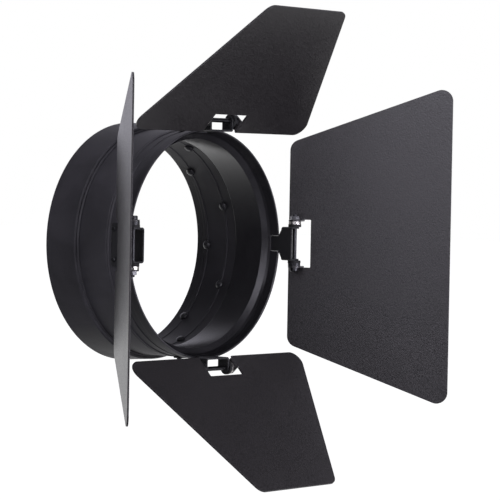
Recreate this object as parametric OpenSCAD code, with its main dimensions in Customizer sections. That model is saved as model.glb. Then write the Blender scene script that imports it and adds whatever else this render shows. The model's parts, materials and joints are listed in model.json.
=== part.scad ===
// Barn door attachment for a studio flash reflector, in millimetres.
// The ring axis lies along Y. The rear face is at Y 0, the doors open towards -Y, and +Z is up.
// A rear adapter ring slips over the reflector's rim.
// A front ring turns on it and carries four hinged leaves.

/* [Front ring] */
// Outside radius of the front lip
lip_r = 100; // [80:0.5:130]
// Width of the front lip along the axis
lip_w = 8.5; // [7.5:0.5:12]
// Rounding of the lip's outer edges
lip_round = 0.8; // [0.4:0.1:2]
// Wall of the lip at its face
lip_wall = 2; // [1.6:0.1:3]
// Narrowing of the tapered mouth
mouth_taper = 1.2; // [0.4:0.1:1.6]
// Depth of the tapered mouth
mouth_depth = 8; // [6:0.5:12]
// Narrowing of the short cone behind the mouth
cone_step = 1; // [0.5:0.1:1.5]
// Length of the short cone behind the mouth
cone_len = 2.3; // [1.5:0.1:4]
// Narrowing at the bright chamfer behind the cone
mouth_step = 4.4; // [3:0.1:5]
// Length of the bright chamfer
mouth_chamfer = 3.6; // [2:0.1:6]
// Wall of the inner tube that holds a grid
grid_wall = 2; // [1.4:0.1:2.4]
// Depth of the groove behind the lip
neck_drop = 1.8; // [1.5:0.1:2]
// Width of the groove behind the lip
neck_w = 8.5; // [7:0.1:12]
// Drop from the lip to the ledge behind the groove
ledge_drop = 1.4; // [1.1:0.1:1.6]
// Width of the ledge behind the groove
ledge_w = 7.4; // [6:0.1:10]
// Drop from the lip to the plain band
band_drop = 0.6; // [0.4:0.1:0.9]
// Width of the plain band between the ledge and the adapter
band_w = 34.4; // [24:0.1:50]
// Wall of the spigot that turns in the adapter
spigot_wall = 3; // [2.5:0.1:5]
// Depth of the fine turned lines
line_d = 0.4; // [0.2:0.05:0.6]
// Distance of the band's line from its front edge
line_at = 1.6; // [1:0.1:4]

/* [Adapter] */
// Length of the adapter along the axis
adapter_len = 32.4; // [30:0.1:50]
// Solid web between the spigot's groove and the rear face
web = 17.4; // [14:0.1:22]
// How far the sleeve runs ahead of the adapter's front edge
sleeve_lead = 15.6; // [8:0.1:20]
// Wall of the adapter outside the spigot
adapter_wall = 3.4; // [2.6:0.1:6]
// Outward flare of the wall towards the rear
wall_flare = 2.2; // [0:0.1:3]
// Length of the nose that closes on the band
nose_len = 1.6; // [0.8:0.1:3]
// Rise of the nose's sloping face
nose_rise = 1.1; // [0.6:0.1:1.4]
// Chamfer on the wall's front edge
wall_chamfer = 1.1; // [0.5:0.1:1.2]
// Width of the ribs that carry the studs
rib_w = 2.2; // [1.6:0.1:3]
// Height of the ribs that carry the studs
rib_h = 0.5; // [0.3:0.1:0.7]
// Wall of the adapter's sleeve
sleeve_wall = 3; // [2:0.1:3.5]
// Widening from the sleeve to the rear collar, which takes the reflector's rim
collar_step = 0.8; // [0.4:0.1:1.5]
// Length of the rear collar
collar_len = 7.5; // [6.5:0.5:9]
// Broken edges of the rings
edge = 0.6; // [0.3:0.1:1]

/* [Turning fit] */
// Radial play of the spigot, outside and inside
spigot_play = 0.4; // [0.3:0.05:0.6]
// Axial play between the two rings
axial_play = 0.3; // [0.2:0.05:0.5]
// Thickness of the snap ring
snap_w = 2; // [1.2:0.1:3]
// How far the snap ring reaches into each wall
snap_bite = 0.9; // [0.5:0.1:1.2]
// Gap of the split snap ring, in degrees
snap_gap = 14; // [6:1:30]

/* [Grip studs] */
// Studs in each of the two staggered rows
studs_per_row = 8; // [4:1:12]
// Front row's distance ahead of the adapter's front edge
stud_front_out = 3.3; // [0:0.1:6]
// Rear row's distance ahead of the collar
stud_rear_in = 4.2; // [4.1:0.1:6]
// Radius of a stud's head
stud_head_r = 4; // [2.5:0.1:4]
// Height of a stud's head
stud_head_h = 2.7; // [1.8:0.1:3.2]
// Height of the straight rim under a stud's dome
stud_rim = 0.9; // [0.3:0.1:1]
// Radius of a stud's shank
stud_shank_r = 1.7; // [1:0.05:2]

/* [Hinge] */
// Hinge axis, distance outside the lip
hinge_out = 7.5; // [6:0.5:15]
// Hinge axis, distance in front of the lip
hinge_fwd = 11; // [9:0.5:18]
// Sheet thickness of brackets and leaves
sheet = 1.5; // [1:0.1:2]
// Inside radius of the bends
bend_r = 1; // [0.6:0.1:2]
// Width over the bracket's two cheeks
bracket_w = 30; // [24:0.5:40]
// Reach of a cheek in front of the hinge axis, where it is round
cheek_front = 4; // [3.6:0.1:5]
// Reach of a cheek behind the hinge axis
cheek_rear = 7.5; // [6:0.1:8.4]
// Width of the bracket's tail in the lip's notch
tail_w = 13.5; // [10:0.5:17]
// Width of the tail's broad foot behind the lip
foot_w = 37; // [28:0.5:40]
// Length of the foot along the axis
foot_len = 9; // [7:0.5:11]
// Rounding of the foot's corners
foot_round = 2; // [1:0.5:3]
// Space behind the foot in its pocket
foot_play = 1.2; // [0.5:0.1:2]
// Distance from the pocket to the band's front edge
pocket_gap = 2.2; // [1:0.1:4]
// Width of the slits that free the bends
relief = 0.8; // [0.5:0.1:1.2]
// Side space of the tail in the lip's notch
tail_play = 0.12; // [0.08:0.02:0.5]
// Flat of the seat beyond the tail's sides
seat_margin = 2.5; // [1:0.5:4]
// Distance from the foot's end to the rivets
rivet_end = 2.6; // [2.4:0.1:3.2]
// Distance between a bracket's two rivets
rivet_pitch = 26; // [14:0.5:28]
// Radius of a rivet's shank
rivet_r = 1.5; // [1:0.05:1.7]
// Radius of a rivet's head
rivet_head_r = 2.3; // [2:0.1:2.4]
// Height of a rivet's head
rivet_head_h = 1.1; // [0.6:0.1:1.2]
// Length of a rivet in the ring
rivet_in = 1.1; // [0.6:0.1:1.4]

/* [Hinge bolt] */
// Radius of the bolt
bolt_r = 2; // [1.5:0.05:2.6]
// Radial play of the bolt in the cheeks
bolt_play = 0.05; // [0.02:0.01:0.09]
// Radius of the friction washers
washer_r = 5.8; // [4:0.1:5.9]
// Thickness of the friction washers
washer_t = 2.4; // [1:0.1:3]
// Radius of the spring washer and the spacer
collar_washer_r = 5.6; // [4:0.1:5.8]
// Thickness of the spring washer and the spacer
collar_washer_t = 2.6; // [1.5:0.1:4]
// Slant of the spring washer's split, in degrees
split_slant = 25; // [10:1:35]
// Width across the nut's flats
nut_af = 7; // [5.5:0.1:10]
// Thickness of the nut
nut_t = 3.2; // [2.4:0.1:5]
// Radius of the bolt's head
head_r = 3.8; // [3:0.1:5.5]
// Height of the bolt's head
head_h = 3.4; // [2:0.1:5]
// Width across the flats of the head's key hole
key_af = 3; // [2:0.1:4]
// Bolt end standing out of the nut
bolt_tip = 1.8; // [1:0.1:4]

/* [Leaves] */
// Corner radius of the leaves
corner_r = 10; // [5:0.5:20]
// Depth of a leaf's hinge notch
notch_depth = 20.5; // [19.5:0.5:30]
// Radius in the notch's corners
notch_r = 0.6; // [0.4:0.1:4]
// Width of a leaf's bent ear
ear_w = 11; // [9:0.5:12]
// Side leaf, how far its hinge edge ends short of the neighbouring hinge axes
side_short = 16.8; // [12:0.1:40]
// Side leaf, widening of each side from hinge edge to free edge
side_flare = 52.6; // [20:0.1:70]
// Side leaf, length
side_len = 149; // [120:0.5:180]
// Side leaf, hinge edge behind the axis
side_back = 9; // [7:0.5:9]
// Side leaf, offset outside the axis
side_offset = 13; // [11:0.5:16]
// Top and bottom leaf, how far its hinge edge runs past the side hinge axes
cap_over = 9; // [0:0.1:9]
// Top and bottom leaf, narrowing of each side from hinge edge to free edge
cap_narrowing = 66.2; // [40:0.1:80]
// Top and bottom leaf, length
cap_len = 142.2; // [115:0.1:160]
// Top and bottom leaf, hinge edge behind the axis
cap_back = 7; // [6.5:0.5:8]
// Top and bottom leaf, offset inside the axis
cap_offset = 7; // [6:0.5:8]

/* [Stored pose] */
// Turn of the adapter against the doors, clockwise as seen from the front
adapter_turn = 2.2; // [-45:0.1:45]
// Top leaf's angle from flat open
top_angle = 43.5; // [0:0.5:130]
// Right leaf's angle from flat open
right_angle = 67.5; // [0:0.5:110]
// Bottom leaf's angle from flat open
bottom_angle = 42.5; // [0:0.5:130]
// Left leaf's angle from flat open
left_angle = 47; // [0:0.5:110]

/* [Hidden] */
$fn = 96;
// Overlap of cutting tools
eps = 0.5;
// Clear space of a stud or rivet in its hole
hole_play = 0.04;
// Least land between the lip's rounding and its mouth
lip_land = 0.05;
// Space under a stud's flat head on the curved wall
head_play = 0.05;

// Angles of the four hinges round the ring, clockwise from the top as seen from the front
top_at = 0;
right_at = 90;
bottom_at = 180;
left_at = 270;

// Turn of each stud row, in steps of its pitch
front_turn = 0.5;
rear_turn = 0;

// Places behind the front lip
ledge_at = lip_w + neck_w;
step_at = ledge_at + ledge_w;
band_at = step_at + ledge_drop - band_drop;
adapter_front = band_at + band_w;
ring_depth = adapter_front + adapter_len;
grid_depth = adapter_front - sleeve_lead;
groove_end = ring_depth - web;
spigot_end = groove_end - 2 * axial_play;
snap_at = (adapter_front + spigot_end) / 2;
collar_at = ring_depth - collar_len;
stud_front = adapter_front - stud_front_out;
stud_rear = collar_at - collar_step - stud_rear_in;
tail_len = step_at - pocket_gap - foot_play;
foot_at = tail_len - foot_len;
rivet_at = tail_len - rivet_end;
chamfer_at = mouth_depth + cone_len;

// Radii of the front ring, from the lip inwards
mouth_r = lip_r - lip_wall;
mouth_back_r = mouth_r - mouth_taper;
cone_r = mouth_back_r - cone_step;
grid_r = cone_r - mouth_step;
neck_r = lip_r - neck_drop;
ledge_r = lip_r - ledge_drop;
band_r = lip_r - band_drop;
spigot_bore_r = band_r - spigot_wall;
lip_corner = min(lip_round, lip_wall / 2 - lip_land);

// Radii of the adapter, fitted round the spigot
groove_r = band_r + spigot_play;
sleeve_out_r = spigot_bore_r - spigot_play;
sleeve_r = sleeve_out_r - sleeve_wall;
collar_r = sleeve_r + collar_step;
wall_r = groove_r + adapter_wall;
rib_r = sleeve_r - rib_h;
wall_rear_r = wall_r + wall_flare;

// Hinge axis and the bracket's flat seat on the ring
hinge_r = lip_r + hinge_out;
seat_z = sqrt(pow(neck_r, 2) - pow(tail_w / 2 + seat_margin, 2));
seat_top = seat_z + sheet;
cheek_depth = cheek_front + cheek_rear;
cheek_out = bracket_w / 2;
cheek_in = cheek_out - sheet;
bend_out = bend_r + sheet;
cheek_back = cheek_rear - hinge_fwd;
bracket_front = -hinge_fwd - cheek_front;

// Stack on the hinge bolt, from a cheek outwards
ear_in = cheek_out + washer_t + collar_washer_t;
ear_out = ear_in + sheet;

// Half widths of the leaves, from the hinge places
side_hinge_half = hinge_r - side_short;
side_free_half = side_hinge_half + side_flare;
cap_hinge_half = hinge_r + cap_over;
cap_free_half = cap_hinge_half - cap_narrowing;

// Row Y of a place behind the front lip
function back(d) = d - ring_depth;

// A ring turned about the ring axis from a section drawn as radius and distance behind the lip
module turned() {
  rotate([-90, 0, 0])
    rotate_extrude()
      translate([0, -ring_depth])
        children();
}

// Children standing at a hinge place, with Z outwards from the ring axis
module around(angle) {
  rotate([0, angle, 0])
    children();
}

// Children in the hinge frame: X along the bolt, Z outwards, Y rearwards
module at_hinge(angle) {
  around(angle)
    translate([0, back(-hinge_fwd), hinge_r])
      children();
}

// A cylinder along X
module rod(r, from, to) {
  translate([from, 0, 0])
    rotate([0, 90, 0])
      cylinder(r = r, h = to - from);
}

// Unit vector and the filleted outline of a convex polygon
function unit(v) = v / norm(v);
function next(points, i) = points[(i + 1) % len(points)];
function prev(points, i) = points[(i + len(points) - 1) % len(points)];
function to_prev(points, i) = unit(prev(points, i) - points[i]);
function to_next(points, i) = unit(next(points, i) - points[i]);
function half_turn(points, i) = acos(to_prev(points, i) * to_next(points, i)) / 2;
function centre(points, i, r) =
  points[i] + unit(to_prev(points, i) + to_next(points, i)) * r / sin(half_turn(points, i));
function touch(points, i, r) = r / tan(half_turn(points, i));

module filleted(points, radii) {
  polygon([
    for (i = [0 : len(points) - 1], side = [0, 1])
      points[i] + (side == 0 ? to_prev(points, i) : to_next(points, i)) * touch(points, i, radii[i])
  ]);
  for (i = [0 : len(points) - 1])
    translate(centre(points, i, radii[i]))
      circle(r = radii[i]);
}

// Cuts in the front ring for one bracket: the way through the lip, the foot's flat pocket and the rivet holes
module bracket_seat() {
  notch = tail_w + 2 * tail_play;
  pocket = foot_w + 2 * seat_margin;
  translate([-notch / 2, back(-eps), mouth_back_r - mouth_step])
    cube([notch, mouth_depth + eps, lip_r]);
  translate([-notch / 2, back(-eps), seat_z])
    cube([notch, lip_w + 2 * eps, lip_r]);
  translate([-pocket / 2, back(lip_w), seat_z])
    cube([pocket, tail_len + foot_play - lip_w, lip_r]);
  at_rivets()
    translate([0, 0, seat_z - rivet_in - head_play])
      cylinder(r = rivet_r + hole_play, h = lip_r);
}

// Children at the places of a bracket's two rivets
module at_rivets() {
  for (side = [-1, 1])
    translate([side * rivet_pitch / 2, back(rivet_at), 0])
      children();
}

// Rounded outer part of the lip
module lip_section() {
  translate([lip_r - lip_corner - eps, lip_corner])
    square([lip_corner + eps, lip_w - 2 * lip_corner]);
  for (d = [lip_corner, lip_w - lip_corner])
    translate([lip_r - lip_corner, d])
      circle(r = lip_corner);
}

module front_ring() {
  snap_half = snap_w / 2 + axial_play;
  snap_floor = band_r - snap_bite - axial_play;
  line = band_at + line_at;
  color([0.09, 0.095, 0.095])
    difference() {
      turned() {
        lip_section();
        polygon([
          [mouth_r, edge],
          [mouth_r + edge, 0],
          [lip_r - lip_corner, 0],
          [lip_r - lip_corner, lip_w],
          [neck_r, lip_w],
          [neck_r, ledge_at - neck_drop + ledge_drop],
          [ledge_r, ledge_at],
          [ledge_r, step_at],
          [band_r, band_at],
          [band_r, line],
          [band_r - line_d, line + line_d],
          [band_r, line + 2 * line_d],
          [band_r, snap_at - snap_half],
          [snap_floor, snap_at - snap_half],
          [snap_floor, snap_at + snap_half],
          [band_r, snap_at + snap_half],
          [band_r, spigot_end - edge],
          [band_r - edge, spigot_end],
          [spigot_bore_r, spigot_end],
          [spigot_bore_r, band_at],
          [grid_r + grid_wall, band_at],
          [grid_r + grid_wall, grid_depth],
          [grid_r, grid_depth],
          [grid_r, chamfer_at + mouth_chamfer],
          [cone_r, chamfer_at],
          [mouth_back_r, mouth_depth]
        ]);
      }
      for (angle = [top_at, right_at, bottom_at, left_at])
        around(angle)
          bracket_seat();
    }
}

module adapter_ring() {
  sleeve_front = grid_depth + axial_play;
  snap_floor = groove_r + snap_bite + axial_play;
  rib_half = rib_w / 2;
  color([0.12, 0.115, 0.125])
    difference() {
      turned()
        polygon([
          [groove_r, adapter_front - nose_len],
          [groove_r + nose_rise, adapter_front],
          [wall_r - wall_chamfer, adapter_front],
          [wall_r, adapter_front + wall_chamfer],
          [wall_rear_r, ring_depth - edge],
          [wall_rear_r - edge, ring_depth],
          [collar_r, ring_depth],
          [collar_r, collar_at],
          [sleeve_r, collar_at - collar_step],
          [sleeve_r, stud_rear + rib_half],
          [rib_r, stud_rear + rib_half - rib_h],
          [rib_r, stud_rear - rib_half + rib_h],
          [sleeve_r, stud_rear - rib_half],
          [sleeve_r, stud_front + rib_half],
          [rib_r, stud_front + rib_half - rib_h],
          [rib_r, stud_front - rib_half + rib_h],
          [sleeve_r, stud_front - rib_half],
          [sleeve_r, sleeve_front + edge],
          [sleeve_r + edge, sleeve_front],
          [sleeve_out_r, sleeve_front],
          [sleeve_out_r, groove_end],
          [groove_r, groove_end],
          [groove_r, snap_at + snap_w / 2],
          [snap_floor, snap_at + snap_w / 2],
          [snap_floor, snap_at - snap_w / 2],
          [groove_r, snap_at - snap_w / 2]
        ]);
      stud_places(stud_front, front_turn)
        stud_hole();
      stud_places(stud_rear, rear_turn)
        stud_hole();
    }
}

// Children at the places of one row of studs, with Z outwards
module stud_places(d, turn) {
  for (i = [0 : studs_per_row - 1])
    around((i + turn) * 360 / studs_per_row + adapter_turn)
      translate([0, back(d), 0])
        children();
}

// Cutter for a stud's hole, from inside the bore out through the sleeve
module stud_hole() {
  start = rib_r - stud_head_h;
  translate([0, 0, start])
    cylinder(r = stud_shank_r + hole_play, h = sleeve_out_r + eps - start);
}

// A domed stud on its rib, with its shank pressed into the sleeve
module stud() {
  under = sqrt(pow(rib_r, 2) - pow(stud_head_r, 2)) - head_play;
  dome = stud_head_h - stud_rim;
  ball = (pow(stud_head_r, 2) + pow(dome, 2)) / (2 * dome);
  shank_end = sqrt(pow(sleeve_out_r, 2) - pow(stud_shank_r, 2)) - head_play;
  translate([0, 0, under - stud_rim])
    cylinder(r = stud_head_r, h = stud_rim);
  intersection() {
    translate([0, 0, under - stud_head_h + ball])
      sphere(r = ball);
    translate([0, 0, under - stud_head_h - eps])
      cylinder(r = stud_head_r, h = dome + eps);
  }
  translate([0, 0, under - stud_rim])
    cylinder(r = stud_shank_r, h = shank_end - under + stud_rim);
}

module front_stud_row() {
  color([0.16, 0.16, 0.165])
    stud_places(stud_front, front_turn)
      stud();
}

module rear_stud_row() {
  color([0.16, 0.16, 0.165])
    stud_places(stud_rear, rear_turn)
      stud();
}

// Split ring that keeps the two rings together
module snap_ring() {
  inner = band_r - snap_bite;
  outer = groove_r + snap_bite;
  color([0.55, 0.55, 0.56])
    rotate([-90, 0, 0])
      rotate([0, 0, snap_gap / 2])
        rotate_extrude(angle = 360 - snap_gap)
          translate([inner, back(snap_at - snap_w / 2)])
            square([outer - inner, snap_w]);
}

// Bent sheet bracket: riveted foot, tail, floor and two cheeks round the bolt
module bracket() {
  bend_at = cheek_out - bend_out;
  tail_end = foot_at + foot_len / 2;
  difference() {
    union() {
      translate([0, 0, seat_z])
        linear_extrude(sheet) {
          polygon([
            [-bend_at, back(bracket_front)],
            [bend_at, back(bracket_front)],
            [bend_at, back(cheek_back)],
            [tail_w / 2, back(-axial_play)],
            [tail_w / 2, back(tail_end)],
            [-tail_w / 2, back(tail_end)],
            [-tail_w / 2, back(-axial_play)],
            [-bend_at, back(cheek_back)]
          ]);
          filleted([
            [-foot_w / 2, back(foot_at)],
            [foot_w / 2, back(foot_at)],
            [foot_w / 2, back(tail_len)],
            [-foot_w / 2, back(tail_len)]
          ], [foot_round, foot_round, foot_round, foot_round]);
        }
      for (side = [0, 1])
        mirror([side, 0, 0]) {
          translate([bend_at, back(cheek_back), seat_z + bend_out])
            rotate([90, 0, 0])
              linear_extrude(cheek_depth)
                bend_section();
          translate([cheek_in, 0, 0])
            rotate([90, 0, 90])
              linear_extrude(sheet)
                cheek_outline();
        }
    }
    at_rivets()
      cylinder(r = rivet_r + hole_play, h = lip_r + sheet);
    translate([0, back(-hinge_fwd), hinge_r])
      rod(bolt_r + bolt_play, -bracket_w, bracket_w);
  }
}

// Quarter ring of bent sheet, below and outside its centre
module bend_section() {
  intersection() {
    difference() {
      circle(r = bend_out);
      circle(r = bend_r);
    }
    translate([0, -bend_out])
      square(bend_out);
  }
}

// A cheek seen along the bolt, with Y rearwards and Z outwards
module cheek_outline() {
  polygon([
    [back(bracket_front), seat_z + bend_out],
    [back(cheek_back), seat_z + bend_out],
    [back(cheek_back), hinge_r],
    [back(-hinge_fwd), hinge_r + cheek_front],
    [back(bracket_front), hinge_r]
  ]);
  translate([back(-hinge_fwd), hinge_r])
    circle(r = cheek_front);
}

// Two low-headed rivets through a bracket's foot
module rivets() {
  at_rivets() {
    translate([0, 0, seat_z - rivet_in])
      cylinder(r = rivet_r, h = rivet_in + sheet);
    translate([0, 0, seat_top])
      cylinder(r = rivet_head_r, h = rivet_head_h / 2);
    translate([0, 0, seat_top + rivet_head_h / 2])
      cylinder(r1 = rivet_head_r, r2 = rivet_head_r - rivet_head_h / 2, h = rivet_head_h / 2);
  }
}

// Flat outline of a leaf in the hinge frame, X along the bolt and Y towards the free edge
module leaf_outline(hinge_half, free_half, length, hinge_back) {
  ear_slot = ear_in + bend_out;
  slot_half = ear_w / 2 + relief / 2;
  difference() {
    filleted([
      [-hinge_half, -hinge_back],
      [hinge_half, -hinge_back],
      [free_half, length - hinge_back],
      [-free_half, length - hinge_back]
    ], [corner_r, corner_r, corner_r, corner_r]);
    filleted([
      [-ear_out, -hinge_back - 3 * notch_r],
      [ear_out, -hinge_back - 3 * notch_r],
      [ear_out, notch_depth - hinge_back],
      [-ear_out, notch_depth - hinge_back]
    ], [notch_r, notch_r, notch_r, notch_r]);
    translate([-ear_slot, -slot_half])
      square([2 * ear_slot, 2 * slot_half]);
  }
}

// One ear bent from the notch's side down to the bolt, on the side of +X
module ear(offset) {
  face = offset - sheet / 2;
  bend_at = ear_in + bend_out;
  difference() {
    union() {
      translate([bend_at, face - bend_r, -ear_w / 2])
        linear_extrude(ear_w)
          rotate([0, 0, 180])
            bend_section();
      translate([bend_at - eps, face, -ear_w / 2])
        cube([2 * eps, sheet, ear_w]);
      translate([ear_in, 0, 0])
        rotate([90, 0, 90])
          linear_extrude(sheet) {
            translate([0, -ear_w / 2])
              square([face - bend_r, ear_w]);
            circle(r = ear_w / 2);
          }
    }
    rod(bolt_r + bolt_play, ear_in - eps, ear_out + eps);
  }
}

// A leaf lying flat open, on the rear side of the bolt at a positive offset
module leaf(hinge_half, free_half, length, hinge_back, offset) {
  translate([0, offset + sheet / 2, 0])
    rotate([90, 0, 0])
      linear_extrude(sheet)
        leaf_outline(hinge_half, free_half, length, hinge_back);
  for (side = [0, 1])
    mirror([side, 0, 0])
      ear(offset);
}

module side_leaf() {
  leaf(side_hinge_half, side_free_half, side_len, side_back, side_offset);
}

// The top and bottom leaves lie on the front side of the bolt, so that the side leaves close over them
module cap_leaf() {
  mirror([0, 1, 0])
    leaf(cap_hinge_half, cap_free_half, cap_len, cap_back, cap_offset);
}

// Bolt with a round socket head, nut end at -X
module hinge_bolt() {
  tip = ear_out + nut_t + bolt_tip;
  break = edge / 2;
  difference() {
    union() {
      rod(bolt_r, break - tip, ear_out);
      translate([-tip, 0, 0])
        rotate([0, 90, 0])
          cylinder(r1 = bolt_r - break, r2 = bolt_r, h = break);
      rod(head_r, ear_out, ear_out + head_h - edge);
      translate([ear_out + head_h - edge, 0, 0])
        rotate([0, 90, 0])
          cylinder(r1 = head_r, r2 = head_r - edge, h = edge);
    }
    translate([ear_out + head_h / 2, 0, 0])
      rotate([0, 90, 0])
        cylinder(r = key_af / sqrt(3), h = head_h, $fn = 6);
  }
}

// Hex nut with a chamfered outer face
module hinge_nut() {
  corner = nut_af / sqrt(3);
  difference() {
    translate([-ear_out - nut_t, 0, 0])
      rotate([0, 90, 0])
        intersection() {
          cylinder(r = corner, h = nut_t, $fn = 6);
          union() {
            cylinder(r1 = corner - edge, r2 = corner + eps, h = edge + eps);
            translate([0, 0, edge + eps])
              cylinder(r = corner + eps, h = nut_t);
          }
        }
    rod(bolt_r + hole_play, -ear_out - nut_t - eps, -ear_out + eps);
  }
}

module nut_washer() {
  difference() {
    rod(washer_r, -cheek_out - washer_t, -cheek_out);
    rod(bolt_r + hole_play, -ear_out, 0);
  }
}

module head_washer() {
  mirror([1, 0, 0])
    nut_washer();
}

// Split spring washer that keeps the hinge stiff
module spring_washer() {
  difference() {
    rod(collar_washer_r, -ear_in, -ear_in + collar_washer_t);
    rod(bolt_r + hole_play, -ear_out, 0);
    translate([-ear_in + collar_washer_t / 2, 0, collar_washer_r])
      rotate([0, 0, split_slant])
        cube([3 * collar_washer_t, relief, 2 * collar_washer_r], center = true);
  }
}

module spacer() {
  difference() {
    rod(collar_washer_r, ear_in - collar_washer_t, ear_in);
    rod(bolt_r + hole_play, 0, ear_out);
  }
}

// Children turned with a leaf from flat open towards closed
module swung(at, angle) {
  at_hinge(at)
    rotate([angle, 0, 0])
      children();
}

module top_bracket() { color([0.08, 0.08, 0.085]) around(top_at) bracket(); }
module top_rivets() { color([0.2, 0.2, 0.21]) around(top_at) rivets(); }
module top_leaf() { color([0.11, 0.105, 0.11]) swung(top_at, top_angle) cap_leaf(); }
module top_bolt() { color([0.12, 0.12, 0.125]) swung(top_at, top_angle) hinge_bolt(); }
module top_nut() { color([0.2, 0.2, 0.21]) swung(top_at, top_angle) hinge_nut(); }
module top_nut_washer() { color([0.05, 0.05, 0.05]) swung(top_at, top_angle) nut_washer(); }
module top_spring_washer() { color([0.7, 0.69, 0.66]) swung(top_at, top_angle) spring_washer(); }
module top_head_washer() { color([0.05, 0.05, 0.05]) swung(top_at, top_angle) head_washer(); }
module top_spacer() { color([0.1, 0.1, 0.105]) swung(top_at, top_angle) spacer(); }

module right_bracket() { color([0.08, 0.08, 0.085]) around(right_at) bracket(); }
module right_rivets() { color([0.2, 0.2, 0.21]) around(right_at) rivets(); }
module right_leaf() { color([0.14, 0.135, 0.14]) swung(right_at, right_angle) side_leaf(); }
module right_bolt() { color([0.12, 0.12, 0.125]) swung(right_at, right_angle) hinge_bolt(); }
module right_nut() { color([0.2, 0.2, 0.21]) swung(right_at, right_angle) hinge_nut(); }
module right_nut_washer() { color([0.05, 0.05, 0.05]) swung(right_at, right_angle) nut_washer(); }
module right_spring_washer() { color([0.7, 0.69, 0.66]) swung(right_at, right_angle) spring_washer(); }
module right_head_washer() { color([0.05, 0.05, 0.05]) swung(right_at, right_angle) head_washer(); }
module right_spacer() { color([0.1, 0.1, 0.105]) swung(right_at, right_angle) spacer(); }

module bottom_bracket() { color([0.08, 0.08, 0.085]) around(bottom_at) bracket(); }
module bottom_rivets() { color([0.2, 0.2, 0.21]) around(bottom_at) rivets(); }
module bottom_leaf() { color([0.11, 0.105, 0.11]) swung(bottom_at, bottom_angle) cap_leaf(); }
module bottom_bolt() { color([0.12, 0.12, 0.125]) swung(bottom_at, bottom_angle) hinge_bolt(); }
module bottom_nut() { color([0.2, 0.2, 0.21]) swung(bottom_at, bottom_angle) hinge_nut(); }
module bottom_nut_washer() { color([0.05, 0.05, 0.05]) swung(bottom_at, bottom_angle) nut_washer(); }
module bottom_spring_washer() { color([0.7, 0.69, 0.66]) swung(bottom_at, bottom_angle) spring_washer(); }
module bottom_head_washer() { color([0.05, 0.05, 0.05]) swung(bottom_at, bottom_angle) head_washer(); }
module bottom_spacer() { color([0.1, 0.1, 0.105]) swung(bottom_at, bottom_angle) spacer(); }

module left_bracket() { color([0.08, 0.08, 0.085]) around(left_at) bracket(); }
module left_rivets() { color([0.2, 0.2, 0.21]) around(left_at) rivets(); }
module left_leaf() { color([0.14, 0.135, 0.14]) swung(left_at, left_angle) side_leaf(); }
module left_bolt() { color([0.12, 0.12, 0.125]) swung(left_at, left_angle) hinge_bolt(); }
module left_nut() { color([0.2, 0.2, 0.21]) swung(left_at, left_angle) hinge_nut(); }
module left_nut_washer() { color([0.05, 0.05, 0.05]) swung(left_at, left_angle) nut_washer(); }
module left_spring_washer() { color([0.7, 0.69, 0.66]) swung(left_at, left_angle) spring_washer(); }
module left_head_washer() { color([0.05, 0.05, 0.05]) swung(left_at, left_angle) head_washer(); }
module left_spacer() { color([0.1, 0.1, 0.105]) swung(left_at, left_angle) spacer(); }

adapter_ring();
front_stud_row();
rear_stud_row();
snap_ring();
front_ring();
top_bracket();
top_rivets();
top_leaf();
top_bolt();
top_nut();
top_nut_washer();
top_spring_washer();
top_head_washer();
top_spacer();
right_bracket();
right_rivets();
right_leaf();
right_bolt();
right_nut();
right_nut_washer();
right_spring_washer();
right_head_washer();
right_spacer();
bottom_bracket();
bottom_rivets();
bottom_leaf();
bottom_bolt();
bottom_nut();
bottom_nut_washer();
bottom_spring_washer();
bottom_head_washer();
bottom_spacer();
left_bracket();
left_rivets();
left_leaf();
left_bolt();
left_nut();
left_nut_washer();
left_spring_washer();
left_head_washer();
left_spacer();
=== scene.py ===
"""Barn door attachment: finishes, light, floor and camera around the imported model."""

import json
import math

import bpy
from mathutils import Matrix, Quaternion, Vector


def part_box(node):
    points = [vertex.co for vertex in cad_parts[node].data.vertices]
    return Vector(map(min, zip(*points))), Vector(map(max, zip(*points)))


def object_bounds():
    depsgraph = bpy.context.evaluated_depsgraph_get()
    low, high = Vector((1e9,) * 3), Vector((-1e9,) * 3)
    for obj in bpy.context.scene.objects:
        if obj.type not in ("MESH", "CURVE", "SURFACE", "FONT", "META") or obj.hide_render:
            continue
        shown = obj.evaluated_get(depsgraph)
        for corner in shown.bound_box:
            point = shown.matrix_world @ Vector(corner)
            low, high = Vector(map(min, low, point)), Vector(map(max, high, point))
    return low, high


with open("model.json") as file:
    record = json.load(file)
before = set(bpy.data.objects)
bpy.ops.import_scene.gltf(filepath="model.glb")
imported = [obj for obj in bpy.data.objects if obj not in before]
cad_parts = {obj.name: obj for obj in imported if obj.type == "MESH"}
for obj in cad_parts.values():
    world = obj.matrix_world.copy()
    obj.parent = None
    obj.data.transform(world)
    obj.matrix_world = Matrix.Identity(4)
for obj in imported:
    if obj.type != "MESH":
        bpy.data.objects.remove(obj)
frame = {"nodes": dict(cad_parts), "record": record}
cad_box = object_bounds()

# The ring axis is Y, and the front lip is the ring's face at its lowest Y.
FRONT_LIP_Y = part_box("front_ring")[0][1]

# Camera of the photograph: angles in degrees, distances in metres, lens and sensor in millimetres.
CAMERA_AZIMUTH = -50.23
CAMERA_ELEVATION = 1.49
CAMERA_ROLL = 1.04
CAMERA_DISTANCE = 2.2783
CAMERA_LENS = 188.96
CAMERA_SENSOR = 36.0
AIM_RIGHT = 0.0375
AIM_UP = -0.0044

# The white backdrop stands behind the object, and the studio is dim on the camera's side.
BACKDROP_LIGHT = 0.5
DIM_SIDE = 0.08
CEILING = 0.14

# Where the backdrop starts and is full, by how far a direction points along the camera's view,
# and where the ceiling does, by how far it points up.
BACKDROP_EDGE = (0.33, 0.9)
CEILING_EDGE = (0.25, 0.9)

# The studio's light is slightly violet, and the camera sees the backdrop as plain white.
STUDIO_TINT = (0.9, 0.88, 1.0)
WHITE = (1.0, 1.0, 1.0)

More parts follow.
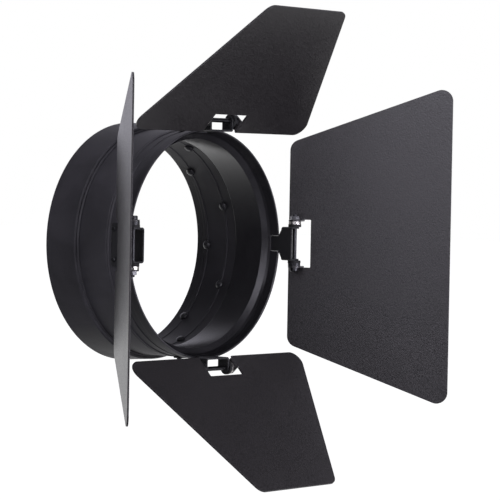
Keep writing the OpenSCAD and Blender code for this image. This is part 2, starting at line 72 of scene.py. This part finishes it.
# The floor lies under the doors, below the picture, in a paint that throws little light up at them.
FLOOR_DROP = 0.3
FLOOR_SIZE = 40.0
FLOOR_PAINT = (0.3, 0.3, 0.3)

# The camera sees the floor pale near the object and white behind it, over these metres along its view.
FLOOR_GLOW = 0.75
GLOW_EDGE = (-0.1, 0.6)

# Most values of a noise texture lie in this range.
NOISE_RANGE = (0.3, 0.7)

# Plated steel: edge rounding and depth of its marks in metres, marks and stains per metre.
STEEL_ROUNDING = 0.00025
STEEL_MARK_DEPTH = 0.00002
STEEL_MARKS = 5200.0
STEEL_STAINS = 120.0


# Shader helpers


def shader_group(name, inputs, outputs):
    """A new shader node group with number inputs and outputs of given kinds, and its end nodes."""
    tree = bpy.data.node_groups.new(name, "ShaderNodeTree")
    for label, value in inputs.items():
        socket = tree.interface.new_socket(name=label, in_out="INPUT", socket_type="NodeSocketFloat")
        socket.default_value = value
    for label, kind in outputs.items():
        tree.interface.new_socket(name=label, in_out="OUTPUT", socket_type=kind)
    return tree, tree.nodes.new("NodeGroupInput"), tree.nodes.new("NodeGroupOutput")


def add(tree, kind, **settings):
    """A new node with its properties set."""
    node = tree.nodes.new(kind)
    for key, value in settings.items():
        setattr(node, key, value)
    return node


def feed(tree, socket, value):
    """Link a socket to another one, or set it to a number, a vector or an opaque colour."""
    if isinstance(value, bpy.types.NodeSocket):
        tree.links.new(value, socket)
    elif socket.type == "RGBA":
        socket.default_value = (*value, 1.0)
    else:
        socket.default_value = value


def math_node(tree, operation, *values, clamp=False):
    """A Math node fed by sockets or numbers, as its output socket."""
    node = add(tree, "ShaderNodeMath", operation=operation, use_clamp=clamp)
    for socket, value in zip(node.inputs, values):
        feed(tree, socket, value)
    return node.outputs[0]


def dot_node(tree, first, second):
    """The dot product of two vectors or vector sockets, as its output socket."""
    node = add(tree, "ShaderNodeVectorMath", operation="DOT_PRODUCT")
    feed(tree, node.inputs[0], first)
    feed(tree, node.inputs[1], second)
    return node.outputs["Value"]


def ramp_node(tree, value, low, high, to_low=0.0, to_high=1.0):
    """A smooth Map Range of a value, as its output socket."""
    node = add(tree, "ShaderNodeMapRange", interpolation_type="SMOOTHSTEP")
    feed(tree, node.inputs["Value"], value)
    node.inputs["From Min"].default_value = low
    node.inputs["From Max"].default_value = high
    node.inputs["To Min"].default_value = to_low
    node.inputs["To Max"].default_value = to_high
    return node.outputs["Result"]


def noise_node(tree, per_metre, **values):
    """A Noise texture over the object, as its value socket."""
    place = add(tree, "ShaderNodeTexCoord")
    node = add(tree, "ShaderNodeTexNoise")
    feed(tree, node.inputs["Vector"], place.outputs["Object"])
    feed(tree, node.inputs["Scale"], per_metre)
    for label, value in values.items():
        node.inputs[label].default_value = value
    return node.outputs["Fac"]


def colour_mix(tree, factor, first, second):
    """A mix of two colours or colour sockets by a factor socket, as its output socket."""
    node = add(tree, "ShaderNodeMix", data_type="RGBA")
    first_colour, second_colour = (socket for socket in node.inputs if socket.type == "RGBA")
    feed(tree, node.inputs["Factor"], factor)
    feed(tree, first_colour, first)
    feed(tree, second_colour, second)
    return next(socket for socket in node.outputs if socket.type == "RGBA")


# Effects that several finishes share


def soft_edges_group():
    """Edges that look slightly rounded, and a mask of where handling rubs them."""
    tree, inlet, outlet = shader_group(
        "soft edges",
        {"Rounding": 0.0004, "Rubbing": 0.5},
        {"Normal": "NodeSocketVector", "Wear": "NodeSocketFloat"},
    )
    # Agreement of the rounded with the true normal, and values of the noise that breaks the rubbing up.
    flat, sharp = 0.995, 0.86
    whole, rubbed_through = 0.35, 0.65
    rubs_per_metre = 160.0
    bevel = add(tree, "ShaderNodeBevel", samples=6)
    feed(tree, bevel.inputs["Radius"], inlet.outputs["Rounding"])
    surface = add(tree, "ShaderNodeNewGeometry")
    facing = dot_node(tree, bevel.outputs["Normal"], surface.outputs["Normal"])
    edge = ramp_node(tree, facing, flat, sharp)
    broken = ramp_node(tree, noise_node(tree, rubs_per_metre, Detail=4.0), whole, rubbed_through)
    rubbed = math_node(tree, "MULTIPLY", edge, broken)
    amount = math_node(tree, "MULTIPLY", rubbed, inlet.outputs["Rubbing"], clamp=True)
    feed(tree, outlet.inputs["Normal"], bevel.outputs["Normal"])
    feed(tree, outlet.inputs["Wear"], amount)
    return tree


def coat_grain_group():
    """Fine grain of a textured coat or moulding: its height, and flecks of lighter and darker tone."""
    tree, inlet, outlet = shader_group(
        "coat grain",
        {"Grains per metre": 2600.0},
        {"Height": "NodeSocketFloat", "Fleck": "NodeSocketFloat"},
    )
    fine = noise_node(tree, inlet.outputs["Grains per metre"], Detail=1.5, Roughness=0.6)
    place = add(tree, "ShaderNodeTexCoord")
    beads = add(tree, "ShaderNodeTexVoronoi", feature="SMOOTH_F1")
    feed(tree, beads.inputs["Vector"], place.outputs["Object"])
    feed(tree, beads.inputs["Scale"], inlet.outputs["Grains per metre"])
    height = math_node(tree, "SUBTRACT", fine, beads.outputs["Distance"])
    feed(tree, outlet.inputs["Height"], height)
    feed(tree, outlet.inputs["Fleck"], ramp_node(tree, fine, *NOISE_RANGE))
    return tree


def handling_group():
    """Broad soft patches where hands and cloths have dulled or polished a surface."""
    tree, inlet, outlet = shader_group(
        "handling",
        {"Patches per metre": 26.0},
        {"Patch": "NodeSocketFloat"},
    )
    patch = noise_node(tree, inlet.outputs["Patches per metre"], Detail=4.0, Distortion=0.6)
    feed(tree, outlet.inputs["Patch"], ramp_node(tree, patch, *NOISE_RANGE))
    return tree


def turned_lines_group():
    """Fine lines left round the ring axis by turning, and where the surface faces away from the axis."""
    tree, inlet, outlet = shader_group(
        "turned lines",
        {"Lines per metre": 2200.0},
        {"Line": "NodeSocketFloat", "Outside": "NodeSocketFloat"},
    )
    # Agreement of the normal with the way out from the axis.
    facing_in, facing_out = -0.2, 0.2
    place = add(tree, "ShaderNodeTexCoord")
    parts = add(tree, "ShaderNodeSeparateXYZ")
    feed(tree, parts.inputs[0], place.outputs["Object"])
    across = math_node(tree, "MULTIPLY", parts.outputs["X"], parts.outputs["X"])
    squared = math_node(tree, "MULTIPLY_ADD", parts.outputs["Z"], parts.outputs["Z"], across)
    radius = math_node(tree, "SQRT", squared)
    along = math_node(tree, "ADD", parts.outputs["Y"], radius)
    lines = add(tree, "ShaderNodeTexNoise", noise_dimensions="1D")
    lines.inputs["Detail"].default_value = 3.0
    feed(tree, lines.inputs["W"], along)
    feed(tree, lines.inputs["Scale"], inlet.outputs["Lines per metre"])
    feed(tree, outlet.inputs["Line"], lines.outputs["Fac"])
    spoke = add(tree, "ShaderNodeCombineXYZ")
    feed(tree, spoke.inputs["X"], parts.outputs["X"])
    feed(tree, spoke.inputs["Z"], parts.outputs["Z"])
    outward = add(tree, "ShaderNodeVectorMath", operation="NORMALIZE")
    feed(tree, outward.inputs[0], spoke.outputs[0])
    facing = dot_node(tree, outward.outputs["Vector"], place.outputs["Normal"])
    feed(tree, outlet.inputs["Outside"], ramp_node(tree, facing, facing_in, facing_out))
    return tree


SOFT_EDGES = soft_edges_group()
COAT_GRAIN = coat_grain_group()
HANDLING = handling_group()
TURNED_LINES = turned_lines_group()


# Finishes


class Finish:
    """A material with its shader, and the shared effects placed in it."""

    def __init__(self, name, metallic=0.0, specular=0.5):
        self.material = bpy.data.materials.new(name)
        self.material.use_nodes = True
        self.tree = self.material.node_tree
        self.shader = self.tree.nodes["Principled BSDF"]
        self.shader.inputs["Metallic"].default_value = metallic
        self.shader.inputs["Specular IOR Level"].default_value = specular

    def effect(self, group, **values):
        """One of the shared effects, with this finish's own values, as its outputs."""
        node = add(self.tree, "ShaderNodeGroup", node_tree=group)
        for label, value in values.items():
            node.inputs[label.replace("_", " ")].default_value = value
        return node.outputs

    def colour(self, socket):
        """Colour of the surface."""
        feed(self.tree, self.shader.inputs["Base Color"], socket)

    def roughness(self, socket):
        """Roughness of the surface."""
        feed(self.tree, self.shader.inputs["Roughness"], socket)

    def relief(self, height, depth, normal):
        """Bump of a depth in metres over a normal."""
        bump = add(self.tree, "ShaderNodeBump")
        bump.inputs["Strength"].default_value = 1.0
        bump.inputs["Distance"].default_value = depth
        feed(self.tree, bump.inputs["Height"], height)
        feed(self.tree, bump.inputs["Normal"], normal)
        feed(self.tree, self.shader.inputs["Normal"], bump.outputs["Normal"])


def coated(name, dark, light, worn, rough, grains, grain_depth, rubbing, rounding, specular, mottle=0.1,
           fleck_rough=0.06, lines=0.0, outside=None, outside_rough=0.0):
    """A textured black coat or moulding: flecked and mottled tone, dulled patches, rubbed edges and grain.

    A turned piece has lines in its relief, and its outside has a dark and a light tone of its own.
    """
    finish = Finish(name, specular=specular)
    tree = finish.tree
    edges = finish.effect(SOFT_EDGES, Rounding=rounding, Rubbing=rubbing)
    grain = finish.effect(COAT_GRAIN, Grains_per_metre=grains)
    hands = finish.effect(HANDLING)
    flecked = math_node(tree, "MULTIPLY", grain["Fleck"], 1.0 - mottle)
    shade = math_node(tree, "MULTIPLY_ADD", hands["Patch"], mottle, flecked)
    tone = colour_mix(tree, shade, dark, light)
    dulled = ramp_node(tree, hands["Patch"], 0.0, 1.0, *rough)
    rough_tone = math_node(tree, "MULTIPLY_ADD", grain["Fleck"], fleck_rough, dulled)
    height = grain["Height"]
    if lines:
        turned = finish.effect(TURNED_LINES)
        height = math_node(tree, "MULTIPLY_ADD", turned["Line"], lines, height)
        rough_tone = math_node(tree, "MULTIPLY_ADD", turned["Outside"], outside_rough, rough_tone)
        tone = colour_mix(tree, turned["Outside"], tone, colour_mix(tree, shade, *outside))
    finish.colour(colour_mix(tree, edges["Wear"], tone, worn))
    finish.roughness(rough_tone)
    finish.relief(height, grain_depth, edges["Normal"])
    return finish.material


def bare_metal(name, tone, stained, worn, rough, rubbing):
    """Plated or blackened steel with fine marks, stains and rubbed edges."""
    finish = Finish(name, metallic=1.0)
    tree = finish.tree
    edges = finish.effect(SOFT_EDGES, Rounding=STEEL_ROUNDING, Rubbing=rubbing)
    grain = finish.effect(COAT_GRAIN, Grains_per_metre=STEEL_MARKS)
    hands = finish.effect(HANDLING, Patches_per_metre=STEEL_STAINS)
    plate = colour_mix(tree, hands["Patch"], tone, stained)
    finish.colour(colour_mix(tree, edges["Wear"], plate, worn))
    finish.roughness(ramp_node(tree, grain["Fleck"], 0.0, 1.0, *rough))
    finish.relief(grain["Height"], STEEL_MARK_DEPTH, edges["Normal"])
    return finish.material


ADAPTER_MOULDING = coated(
    "adapter moulding",
    dark=(0.0114, 0.0108, 0.0125), light=(0.038, 0.0363, 0.041), worn=(0.085, 0.083, 0.089),
    rough=(0.5, 0.6), grains=2200.0, grain_depth=0.00006, rubbing=0.5, rounding=0.0006, specular=0.4,
    mottle=0.6,
)
RING_COAT = coated(
    "front ring coat",
    dark=(0.0115, 0.0112, 0.0122), light=(0.0185, 0.018, 0.0195), worn=(0.07, 0.07, 0.07),
    rough=(0.15, 0.2), grains=4200.0, grain_depth=0.00002, rubbing=0.4, rounding=0.0005, specular=0.45,
    mottle=0.6, lines=0.6, outside=((0.015, 0.0144, 0.0162), (0.046, 0.044, 0.0497)), outside_rough=0.42,
)
LEAF_COAT = coated(
    "leaf powder coat",
    dark=(0.0108, 0.0098, 0.01), light=(0.0286, 0.0261, 0.0265), worn=(0.05, 0.048, 0.05),
    rough=(0.28, 0.3), grains=850.0, grain_depth=0.00005, rubbing=0.4, rounding=0.0005, specular=0.62,
    fleck_rough=0.14,
)
BRACKET_COAT = coated(
    "bracket coat",
    dark=(0.010, 0.010, 0.011), light=(0.017, 0.017, 0.018), worn=(0.14, 0.14, 0.14),
    rough=(0.4, 0.5), grains=2600.0, grain_depth=0.00005, rubbing=0.9, rounding=0.0004, specular=0.3,
)
STUD_MOULDING = coated(
    "stud moulding",
    dark=(0.022, 0.022, 0.023), light=(0.034, 0.034, 0.035), worn=(0.12, 0.12, 0.12),
    rough=(0.22, 0.3), grains=5200.0, grain_depth=0.00001, rubbing=0.3, rounding=0.0003, specular=0.5,
)
WASHER_FIBRE = coated(
    "washer fibre",
    dark=(0.010, 0.010, 0.010), light=(0.018, 0.018, 0.018), worn=(0.05, 0.05, 0.05),
    rough=(0.6, 0.7), grains=3000.0, grain_depth=0.00006, rubbing=0.5, rounding=0.0004, specular=0.3,
)
BLACK_STEEL = bare_metal(
    "black oxide steel",
    tone=(0.055, 0.055, 0.058), stained=(0.035, 0.035, 0.037), worn=(0.35, 0.35, 0.35),
    rough=(0.32, 0.46), rubbing=0.8,
)
DARK_STEEL = bare_metal(
    "dark zinc steel",
    tone=(0.16, 0.16, 0.165), stained=(0.10, 0.10, 0.105), worn=(0.45, 0.45, 0.45),
    rough=(0.3, 0.44), rubbing=0.8,
)
NICKEL = bare_metal(
    "bright nickel",
    tone=(0.66, 0.64, 0.60), stained=(0.52, 0.50, 0.47), worn=(0.78, 0.77, 0.74),
    rough=(0.2, 0.32), rubbing=0.5,
)
SPRING_STEEL = bare_metal(
    "spring steel",
    tone=(0.45, 0.45, 0.46), stained=(0.34, 0.34, 0.35), worn=(0.6, 0.6, 0.6),
    rough=(0.28, 0.4), rubbing=0.5,
)

FINISH_OF_SLOT = {
    "adapter_plastic": ADAPTER_MOULDING,
    "stud_plastic": STUD_MOULDING,
    "spring_steel": SPRING_STEEL,
    "ring_metal": RING_COAT,
    "bracket_sheet": BRACKET_COAT,
    "leaf_sheet": LEAF_COAT,
    "black_steel": BLACK_STEEL,
    "dark_steel": DARK_STEEL,
    "bright_nickel": NICKEL,
    "friction_washer": WASHER_FIBRE,
}


def finish_nodes():
    """Each CAD node takes the finish of its material slot in the record."""
    for part in frame["record"]["subparts"]:
        slots = frame["nodes"][part["node"]].material_slots
        for slot in slots:
            slot.material = FINISH_OF_SLOT[part["material_slot"]]


# Stage


def seen_rays(tree):
    """Whether a ray comes from the camera, and whether it shows the surroundings in gloss or glass."""
    rays = add(tree, "ShaderNodeLightPath").outputs
    mirrored = math_node(tree, "MAXIMUM", rays["Is Glossy Ray"], rays["Is Transmission Ray"])
    return rays["Is Camera Ray"], mirrored


def camera_back():
    """The way back from the object to the photograph's camera."""
    azimuth = math.radians(CAMERA_AZIMUTH)
    elevation = math.radians(CAMERA_ELEVATION)
    return Vector((
        math.sin(azimuth) * math.cos(elevation),
        -math.cos(azimuth) * math.cos(elevation),
        math.sin(elevation),
    ))


def make_world():
    """White where the camera looks, and a studio with a white backdrop and a dim camera side."""
    world = bpy.data.worlds.new("white studio")
    world.use_nodes = True
    tree = world.node_tree
    place = add(tree, "ShaderNodeTexCoord")
    behind = dot_node(tree, place.outputs["Generated"], -camera_back())
    backdrop = ramp_node(tree, behind, *BACKDROP_EDGE)
    wall = math_node(tree, "MULTIPLY_ADD", backdrop, BACKDROP_LIGHT - DIM_SIDE, DIM_SIDE)
    parts = add(tree, "ShaderNodeSeparateXYZ")
    feed(tree, parts.inputs[0], place.outputs["Generated"])
    ceiling = ramp_node(tree, parts.outputs["Z"], *CEILING_EDGE, to_high=CEILING)
    light = math_node(tree, "MAXIMUM", wall, ceiling)
    camera, mirrored = seen_rays(tree)
    shown = math_node(tree, "MAXIMUM", camera, math_node(tree, "MULTIPLY", mirrored, backdrop))
    paint = tree.nodes["Background"]
    feed(tree, paint.inputs["Color"], colour_mix(tree, camera, STUDIO_TINT, WHITE))
    feed(tree, paint.inputs["Strength"], math_node(tree, "MAXIMUM", shown, light))
    bpy.context.scene.world = world


def make_floor():
    """A pale floor that keeps the object's shadow and is white behind it."""
    bpy.ops.mesh.primitive_plane_add(size=FLOOR_SIZE, location=(0, 0, cad_box[0][2] - FLOOR_DROP))
    floor = bpy.context.object
    floor.name = "floor"
    material = bpy.data.materials.new("pale floor")
    material.use_nodes = True
    tree = material.node_tree
    tree.nodes.clear()
    paint = add(tree, "ShaderNodeBsdfDiffuse")
    feed(tree, paint.inputs["Color"], FLOOR_PAINT)
    place = add(tree, "ShaderNodeNewGeometry")
    behind = dot_node(tree, place.outputs["Position"], -camera_back())
    backdrop = ramp_node(tree, behind, *GLOW_EDGE)
    camera, mirrored = seen_rays(tree)
    near = math_node(tree, "MULTIPLY", camera, FLOOR_GLOW)
    far = math_node(tree, "MULTIPLY", math_node(tree, "MAXIMUM", camera, mirrored), backdrop)
    glow = add(tree, "ShaderNodeEmission")
    feed(tree, glow.inputs["Strength"], math_node(tree, "MAXIMUM", near, far))
    both = add(tree, "ShaderNodeAddShader")
    feed(tree, both.inputs[0], paint.outputs[0])
    feed(tree, both.inputs[1], glow.outputs[0])
    output = add(tree, "ShaderNodeOutputMaterial")
    feed(tree, output.inputs["Surface"], both.outputs[0])
    floor.data.materials.append(material)


def soft_light(name, place, width, height, power, spread, lean=0.0):
    """A softbox that looks at the ring's mouth, leaning sideways, with a grid that narrows its light."""
    lamp = bpy.data.lights.new(name, "AREA")
    lamp.shape = "RECTANGLE"
    lamp.size = width
    lamp.size_y = height
    lamp.energy = power
    lamp.color = STUDIO_TINT
    lamp.spread = math.radians(spread)
    box = bpy.data.objects.new(name, lamp)
    box.location = place
    mouth = Vector((0, FRONT_LIP_Y, 0))
    facing = (mouth - Vector(place)).to_track_quat("-Z", "Y")
    box.rotation_euler = (facing @ Quaternion((0, 0, 1), math.radians(lean))).to_euler()
    bpy.context.scene.collection.objects.link(box)


def make_lights():
    """A softbox above, one at the left, and two strips on the camera's side, one high and one low."""
    soft_light("overhead softbox", (-0.2, -0.2, 2.0), width=1.4, height=1.4, power=5.5, spread=180.0)
    soft_light("left softbox", (-2.1, -0.8, 0.8), width=1.4, height=1.4, power=7.7, spread=90.0)
    soft_light("front strip", (-0.85, -1.87, 1.0), width=0.25, height=2.0, power=3.5, spread=90.0,
               lean=-22.0)
    soft_light("low strip", (0.3, -2.0, -0.36), width=1.6, height=0.2, power=8.5, spread=90.0)


def make_camera():
    """The photograph's camera, rolled a little and aimed to the right of the ring's mouth."""
    azimuth = math.radians(CAMERA_AZIMUTH)
    roll = math.radians(CAMERA_ROLL)
    back = camera_back()
    level = Vector((math.cos(azimuth), math.sin(azimuth), 0.0))
    upright = back.cross(level)
    right = level * math.cos(roll) + upright * math.sin(roll)
    up = upright * math.cos(roll) - level * math.sin(roll)
    aim = Vector((0.0, FRONT_LIP_Y, AIM_UP)) + level * AIM_RIGHT
    lens = bpy.data.cameras.new("photo camera")
    lens.lens = CAMERA_LENS
    lens.sensor_width = CAMERA_SENSOR
    camera = bpy.data.objects.new("photo camera", lens)
    turn = Matrix((right, up, back)).transposed().to_4x4()
    camera.matrix_world = Matrix.Translation(aim + back * CAMERA_DISTANCE) @ turn
    bpy.context.scene.collection.objects.link(camera)
    bpy.context.scene.camera = camera


finish_nodes()
make_world()
make_floor()
make_lights()
make_camera()
bpy.context.scene.view_settings.view_transform = "Standard"
